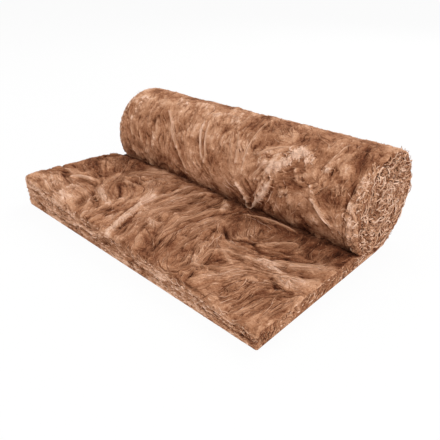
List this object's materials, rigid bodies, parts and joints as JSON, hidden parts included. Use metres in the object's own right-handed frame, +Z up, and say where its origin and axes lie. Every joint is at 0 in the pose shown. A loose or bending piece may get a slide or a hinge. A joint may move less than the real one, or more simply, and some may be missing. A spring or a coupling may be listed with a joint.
{
  "type": "insulation roll",
  "caption": "Partly unrolled blanket of brown mineral wool: a flat tail lies on the floor and the rest is still wound into a roll behind it.",
  "frame": {"origin": "on the floor, under the middle of the whole part's box", "axes": "+X along the roll's axis towards its thin side, -Y towards the free end of the tail, +Z up from the floor"},
  "size_m": [1.2, 0.822, 0.3599],
  "materials": {
    "wool": "matte, fibrous and tangled, with paler loose strands"
  },
  "bodies": {
    "root": {"wool_blanket": "wool"}
  },
  "joints": []
}
